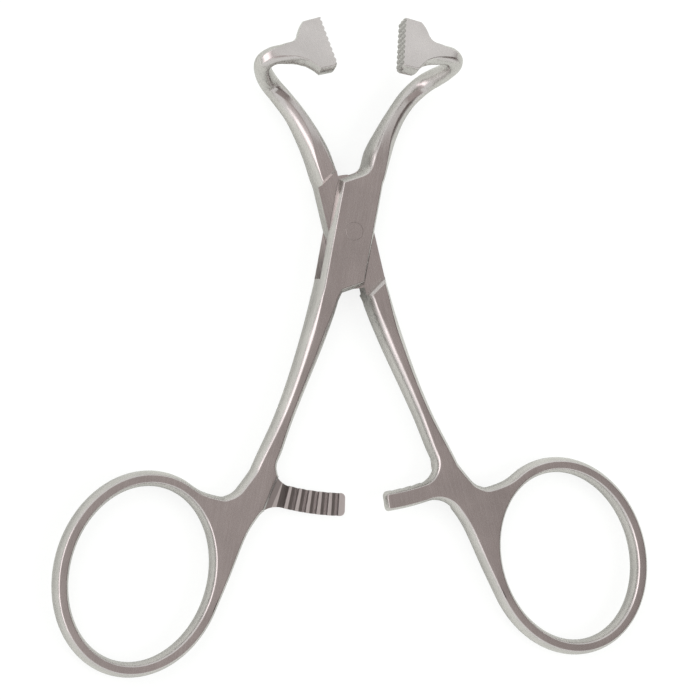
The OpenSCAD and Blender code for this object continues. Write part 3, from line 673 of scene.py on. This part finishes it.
def cut(obj, tool, slot=SATIN):
    """Cuts a tool away from obj and drops the tool. The new faces go to a material slot."""
    for mesh in (obj.data, tool.data):
        while len(mesh.materials) < 3:
            mesh.materials.append(None)
    tool.data.polygons.foreach_set("material_index", np.full(len(tool.data.polygons), slot, np.int32))
    modifier = obj.modifiers.new("cut", "BOOLEAN")
    modifier.material_mode = "INDEX"
    modifier.object = tool
    modifier.operation = "DIFFERENCE"
    modifier.solver = "MANIFOLD"
    bpy.context.view_layer.update()
    shape = bpy.data.meshes.new_from_object(obj.evaluated_get(bpy.context.evaluated_depsgraph_get()))
    obj.modifiers.clear()
    old = obj.data
    obj.data = shape
    bpy.data.meshes.remove(old)
    bpy.data.objects.remove(tool)


def place(obj, s, side):
    """Brings a half from the shut clamp to where it lies: mirrored for the box half, turned by half the opening and
    raised to the middle plane of the lock."""
    turn = Matrix.Translation((0, 0, s.lock_t / 2)) @ Matrix.Rotation(side * s.opening / 2, 4, "Z")
    if side < 0:
        turn = turn @ Matrix.Scale(-1, 4, (1, 0, 0))
    obj.data.transform(Matrix.Scale(MM, 4) @ turn)
    if side < 0:
        obj.data.flip_normals()


def finish_surface(obj, *steels):
    """Merges doubles, shades smooth between the sharp edges, weighs the normals by face area and gives the steels,
    one for each slot."""
    work = bmesh.new()
    work.from_mesh(obj.data)
    bmesh.ops.remove_doubles(work, verts=work.verts, dist=1e-7)
    bmesh.ops.dissolve_degenerate(work, edges=work.edges, dist=1e-7)
    work.to_mesh(obj.data)
    work.free()
    obj.data.shade_smooth()
    obj.data.set_sharp_from_angle(angle=SHARP_ANGLE)
    modifier = obj.modifiers.new("weighted", "WEIGHTED_NORMAL")
    modifier.keep_sharp = True
    while len(obj.data.materials) < len(steels):
        obj.data.materials.append(None)
    for slot, steel in enumerate(steels):
        obj.data.materials[slot] = steel


def satin_steel(name, lean, colour, roughness, grain):
    """Satin steel: fine ground lines along the half, in its colour and its roughness, over soft clouds in the
    colour."""
    material = bpy.data.materials.new(name)
    material.use_nodes = True
    nodes, links = material.node_tree.nodes, material.node_tree.links
    shader = nodes["Principled BSDF"]
    shader.inputs["Metallic"].default_value = 1.0
    place_node = nodes.new("ShaderNodeTexCoord")
    turned = nodes.new("ShaderNodeMapping")
    turned.inputs["Rotation"].default_value = (0, 0, -lean)
    links.new(place_node.outputs["Object"], turned.inputs["Vector"])

    stretched = nodes.new("ShaderNodeMapping")
    stretched.inputs["Scale"].default_value = (1.0, 0.05, 1.0)
    links.new(turned.outputs["Vector"], stretched.inputs["Vector"])
    lines = nodes.new("ShaderNodeTexNoise")
    lines.inputs["Scale"].default_value = 4200
    lines.inputs["Detail"].default_value = 2
    lines.inputs["Roughness"].default_value = 0.4
    links.new(stretched.outputs["Vector"], lines.inputs["Vector"])
    cloud = nodes.new("ShaderNodeTexNoise")
    cloud.inputs["Scale"].default_value = 160
    cloud.inputs["Detail"].default_value = 3
    links.new(turned.outputs["Vector"], cloud.inputs["Vector"])

    both = nodes.new("ShaderNodeMath")
    both.operation = "MULTIPLY_ADD"
    both.inputs[1].default_value = grain
    links.new(lines.outputs["Fac"], both.inputs[0])
    links.new(cloud.outputs["Fac"], both.inputs[2])
    tint = nodes.new("ShaderNodeValToRGB")
    tint.color_ramp.elements[0].position = 0.45
    tint.color_ramp.elements[0].color = (*[c * 0.9 for c in colour], 1)
    tint.color_ramp.elements[1].position = 0.95
    tint.color_ramp.elements[1].color = (*[min(1, c * 1.1) for c in colour], 1)
    links.new(both.outputs[0], tint.inputs["Fac"])
    links.new(tint.outputs["Color"], shader.inputs["Base Color"])

    blur = nodes.new("ShaderNodeMapRange")
    blur.inputs["From Min"].default_value = 0.3
    blur.inputs["From Max"].default_value = 0.7
    blur.inputs["To Min"].default_value = roughness - 0.03
    blur.inputs["To Max"].default_value = roughness + 0.04
    links.new(lines.outputs["Fac"], blur.inputs["Value"])
    links.new(blur.outputs["Result"], shader.inputs["Roughness"])
    return material


def painted_light_steel(name, colour, shade, roughness):
    """Steel of the cuts: one even colour, the satin faces' colour times a factor. Below 1 the factor paints shade
    into the milled cuts, above 1 it paints light onto the lapped flats; the roughness is the finish's own.
    """
    material = bpy.data.materials.new(name)
    material.use_nodes = True
    shader = material.node_tree.nodes["Principled BSDF"]
    shader.inputs["Base Color"].default_value = (*[c * shade for c in colour], 1)
    shader.inputs["Metallic"].default_value = 1.0
    shader.inputs["Roughness"].default_value = roughness
    return material


def half_steels(s, finish, name, side):
    """The steels of a half, one for each material slot."""
    return (satin_steel("satin_steel_" + name, side * s.opening / 2, finish.steel, finish.roughness, finish.grain),
            # Darker copy of the steel's colour: painted shade in the pad's grooves, the tooth gaps and the roll at
            # the arm's root
            painted_light_steel("milled_steel_" + name, finish.steel, shade=0.75, roughness=0.32),
            # Lighter copy of the steel's colour: painted light on the slot's walls and the arms' milled faces
            painted_light_steel("lapped_steel_" + name, finish.steel, shade=1.25, roughness=0.5))


def clamp_half(s, name, side):
    """One whole half of the clamp, the box half at side -1 or the tongue half at side 1: the forging with its lock,
    ratchet arm and pad grooves."""
    slot_r = math.hypot(s.lock_w / 2, s.crotch_down - s.lock_w / 2 * math.tan(s.shoulder_slope)) + SLOT_CLEAR
    box_form = (s.box_arm_w, s.box_arm_reach, BOX_FILLET)
    tongue_form = (s.tongue_arm_w, s.tongue_arm_reach, TONGUE_FILLET)
    half = mesh_object(name, *forging(s, *(box_form if side < 0 else tongue_form)))
    # The pad's grooves take the darker steel, painted shade
    for tool in groove_tools(s):
        cut(half, tool, MILLED_PAINTED_SHADE)
    if side < 0:
        # The slot and the arm's face take the lighter steel, painted light; the roll and the tooth gaps the darker
        # steel, painted shade
        cut(half, slot_tool(slot_r, s.slot_t), LAPPED_PAINTED_LIGHT)
        cut(half, bore_tool(s.pin_d / 2))
        cut(half, roll_tool(s), MILLED_PAINTED_SHADE)
        cut(half, arm_tool(s, BOX_STEP, 0), LAPPED_PAINTED_LIGHT)
        cut(half, tooth_tool(s, BOX_TEETH), MILLED_PAINTED_SHADE)
    else:
        for plate in (1, -1):
            cut(half, shoulder_tool(s, plate))
        for corner in (1, -1):
            cut(half, corner_tool(s, slot_r - CORNER_CLEAR, corner))
        cut(half, bore_tool(s.pin_d / 2 + s.pin_play))
        # The arm's face takes the lighter steel, painted light, and the tooth gaps the darker steel, painted shade
        for tool, slot in ((arm_tool(s, 0, s.tip_relief), LAPPED_PAINTED_LIGHT), (tooth_tool(s, TONGUE_TEETH), MILLED_PAINTED_SHADE)):
            tool.data.transform(Matrix.Scale(-1, 4, (0, 0, 1)))
            tool.data.flip_normals()
            cut(half, tool, slot)
    place(half, s, side)
    return half


class CLAMP_OT_box_half(bpy.types.Operator):
    """Makes the half with the box, its ring, its toothed arm and its jaw"""

    bl_idname = "clamp.box_half"
    bl_label = "Box half"

    def execute(self, context):
        s = Millimetres(context.scene.clamp_sizes)
        half = clamp_half(s, "box_half_steel", -1)
        finish_surface(half, *half_steels(s, context.scene.clamp_finish, "box_half", -1))
        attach(half, "box_half")
        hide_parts("box_half")
        return {"FINISHED"}


class CLAMP_OT_tongue_half(bpy.types.Operator):
    """Makes the half with the tongue, its ring, its arm and its jaw"""

    bl_idname = "clamp.tongue_half"
    bl_label = "Tongue half"

    def execute(self, context):
        s = Millimetres(context.scene.clamp_sizes)
        half = clamp_half(s, "tongue_half_steel", 1)
        finish_surface(half, *half_steels(s, context.scene.clamp_finish, "tongue_half", 1))
        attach(half, "tongue_half")
        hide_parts("tongue_half")
        return {"FINISHED"}


class CLAMP_OT_pivot_pin(bpy.types.Operator):
    """Makes the pivot pin, ground flush with the lock's faces"""

    bl_idname = "clamp.pivot_pin"
    bl_label = "Pivot pin"

    def execute(self, context):
        s = Millimetres(context.scene.clamp_sizes)
        f = context.scene.clamp_finish
        r, h, c, centre, n = s.pin_d / 2, s.lock_t, 0.04, 0.001, BORE_STEPS
        z = np.array([0, 0, c, h - c, h, h])
        rr = np.array([centre, r - c, r, r, r - c, centre])
        a = np.radians(np.arange(n) * (360 / n))[:, None]
        vertices = np.stack([rr * np.cos(a), rr * np.sin(a), np.broadcast_to(z, (n, len(z)))], -1).reshape(-1, 3)
        pin = mesh_object("pivot_pin_steel", vertices * MM, band_faces(0, n, len(z)).tolist())
        finish_surface(pin, satin_steel("satin_steel_pin", -s.opening / 2, f.steel, f.roughness, f.grain))
        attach(pin, "box_half")
        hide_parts("pivot_pin")
        return {"FINISHED"}


def camera_white(name, strength):
    """White paper that looks nearly evenly lit to the camera, and shows in the steel as it is lit."""
    material = bpy.data.materials.new(name)
    material.use_nodes = True
    nodes, links = material.node_tree.nodes, material.node_tree.links
    shader = nodes["Principled BSDF"]
    shader.inputs["Base Color"].default_value = (0.71, 0.735, 0.7, 1)
    shader.inputs["Roughness"].default_value = 0.9
    glow = nodes.new("ShaderNodeEmission")
    glow.inputs["Strength"].default_value = strength
    path = nodes.new("ShaderNodeLightPath")
    share = nodes.new("ShaderNodeMath")
    share.operation = "MULTIPLY"
    share.inputs[1].default_value = 0.75
    links.new(path.outputs["Is Camera Ray"], share.inputs[0])
    mix = nodes.new("ShaderNodeMixShader")
    links.new(share.outputs[0], mix.inputs["Fac"])
    links.new(shader.outputs[0], mix.inputs[1])
    links.new(glow.outputs[0], mix.inputs[2])
    links.new(mix.outputs[0], nodes["Material Output"].inputs["Surface"])
    return material


def glow_card(name, corners, stops):
    """Card that only reflections see, glowing in a run of colours from its first edge to the opposite one."""
    card = mesh_object(name, np.array(corners), [(0, 1, 2, 3)])
    material = bpy.data.materials.new(name + "_glow")
    material.use_nodes = True
    nodes, links = material.node_tree.nodes, material.node_tree.links
    where = nodes.new("ShaderNodeTexCoord")
    split = nodes.new("ShaderNodeSeparateXYZ")
    links.new(where.outputs["Generated"], split.inputs[0])
    ramp = nodes.new("ShaderNodeValToRGB")
    for k, (position, colour) in enumerate(stops):
        element = ramp.color_ramp.elements[k] if k < 2 else ramp.color_ramp.elements.new(position)
        element.position = position
        element.color = (*colour, 1)
    links.new(split.outputs["X"], ramp.inputs["Fac"])
    glow = nodes.new("ShaderNodeEmission")
    links.new(ramp.outputs["Color"], glow.inputs["Color"])
    links.new(glow.outputs[0], nodes["Material Output"].inputs["Surface"])
    card.data.materials.append(material)
    card.visible_camera = False
    card.visible_diffuse = False
    card.visible_shadow = False
    card.visible_transmission = False


def white_air(scene):
    """White surroundings, dimmer as a light than as what the camera and the reflections see."""
    world = bpy.data.worlds.new("studio_air")
    scene.world = world
    world.use_nodes = True
    nodes, links = world.node_tree.nodes, world.node_tree.links
    back = nodes["Background"]
    path = nodes.new("ShaderNodeLightPath")
    seen = path.outputs["Is Camera Ray"]
    for ray in ("Is Glossy Ray", "Is Transmission Ray"):
        either = nodes.new("ShaderNodeMath")
        either.operation = "MAXIMUM"
        links.new(seen, either.inputs[0])
        links.new(path.outputs[ray], either.inputs[1])
        seen = either.outputs[0]
    level = nodes.new("ShaderNodeMapRange")
    level.inputs["To Min"].default_value = 0.6
    level.inputs["To Max"].default_value = 1.0
    links.new(seen, level.inputs["Value"])
    links.new(level.outputs["Result"], back.inputs["Strength"])
    back.inputs["Color"].default_value = (1, 1, 1, 1)


def reflection_cards():
    """What the steel reflects: a pinkish grey flag over the clamp, a pale card with a bright band on its left and a
    dark flag on its right."""
    left, right, near, high = -0.45, 0.33, -0.5, 0.62
    grey, pale, bright = (0.46, 0.405, 0.395), (0.7, 0.65, 0.65), (2.5, 2.3, 2.36)
    glow_card("top_flag", [(left, near, high), (right, near, high), (right, 0.27, high), (left, 0.27, high)],
              [(0.0, (0.8, 0.74, 0.74)), (1.0, grey), (0.7, (0.53, 0.47, 0.46))])
    glow_card("left_card", [(-0.95, near, 0.02), (left, near, high), (left, 0.45, high), (-0.95, 0.45, 0.02)],
              [(0.0, (0.5, 0.53, 0.5)), (1.0, pale), (0.2, (0.6, 0.6, 0.58)), (0.4, bright), (0.68, bright),
               (0.82, pale)])
    glow_card("side_flag", [(right, near, high), (0.85, near, 0.1), (0.85, 0.22, 0.1), (right, 0.22, high)],
              [(0.0, grey), (1.0, (0.3, 0.27, 0.26)), (0.3, (0.13, 0.105, 0.1))])


def square_light(scene, name, place_at, size, power):
    """Square light that faces the clamp and doesn't show in the steel."""
    light = bpy.data.lights.new(name, "AREA")
    light.shape = "SQUARE"
    light.size = size
    light.energy = power
    lamp = bpy.data.objects.new(name, light)
    lamp.visible_glossy = False
    lamp.location = place_at
    lamp.rotation_euler = (Vector((0, -0.015, 0)) - Vector(place_at)).to_track_quat("-Z", "Y").to_euler()
    scene.collection.objects.link(lamp)


def photo_camera(scene):
    """Camera where the photographer's stood, 20 degrees to the left of upright."""
    side, below, roll = (math.radians(v) for v in (20, 0.4, 1.5))
    aim = Vector((-0.000227, -0.016916, scene.clamp_sizes.lock_t / 2))
    away = Vector((-math.sin(side) * math.cos(below), -math.sin(below), math.cos(side) * math.cos(below)))
    up = Vector((math.sin(roll), math.cos(roll), 0))
    right = up.cross(away).normalized()
    up = away.cross(right)
    turn = Matrix((right, up, away)).transposed().to_4x4()
    lens = bpy.data.cameras.new("photo_camera")
    lens.sensor_width = 36.0
    lens.lens = lens.sensor_width * (CAMERA_AWAY / PIXEL) / 700
    lens.clip_start = 0.01
    camera = bpy.data.objects.new("photo_camera", lens)
    camera.matrix_world = Matrix.Translation(aim + away * (CAMERA_AWAY * MM)) @ turn
    scene.collection.objects.link(camera)
    scene.camera = camera


class CLAMP_OT_studio(bpy.types.Operator):
    """Makes the floor, the lights, the white surroundings and the camera"""

    bl_idname = "clamp.studio"
    bl_label = "Studio"

    def execute(self, context):
        scene = context.scene
        scene.view_settings.view_transform = "Standard"
        side = 3.0
        corners = np.array([(-1, -1), (1, -1), (1, 1), (-1, 1)]) * side
        floor = mesh_object("studio_floor", np.column_stack([corners, np.zeros(4)]), [(0, 1, 2, 3)])
        floor.data.materials.append(camera_white("studio_white", strength=1.1))
        white_air(scene)
        reflection_cards()
        square_light(scene, "key_light", (-0.5, 0.35, 0.5), size=0.7, power=5.0)
        square_light(scene, "fill_light", (0.5, -0.2, 0.45), size=0.5, power=3.0)
        photo_camera(scene)
        return {"FINISHED"}


class CLAMP_PT_panel(bpy.types.Panel):
    """Lists the sizes, the finish and the pieces of the clamp"""

    bl_idname = "CLAMP_PT_panel"
    bl_label = "Towel clamp"
    bl_space_type = "VIEW_3D"
    bl_region_type = "UI"
    bl_category = "Clamp"

    def draw(self, context):
        for group in (context.scene.clamp_sizes, context.scene.clamp_finish):
            for name in group.bl_rna.properties.keys():
                if name not in ("rna_type", "name"):
                    self.layout.prop(group, name)
        for piece in ("box_half", "tongue_half", "pivot_pin", "studio"):
            self.layout.operator("clamp." + piece)


CLASSES = (ClampSizes, SteelFinish, CLAMP_OT_box_half, CLAMP_OT_tongue_half, CLAMP_OT_pivot_pin, CLAMP_OT_studio,
           CLAMP_PT_panel)


def register():
    """Adds the classes and the scene's settings."""
    for cls in CLASSES:
        bpy.utils.register_class(cls)
    bpy.types.Scene.clamp_sizes = bpy.props.PointerProperty(type=ClampSizes)
    bpy.types.Scene.clamp_finish = bpy.props.PointerProperty(type=SteelFinish)


def unregister():
    """Takes the classes and the scene's settings away."""
    del bpy.types.Scene.clamp_finish
    del bpy.types.Scene.clamp_sizes
    for cls in reversed(CLASSES):
        bpy.utils.unregister_class(cls)


def main():
    """Makes the clamp and its studio."""
    register()
    bpy.ops.clamp.studio()
    bpy.ops.clamp.box_half()
    bpy.ops.clamp.tongue_half()
    bpy.ops.clamp.pivot_pin()
    bpy.context.view_layer.update()


if __name__ == "__main__":
    main()
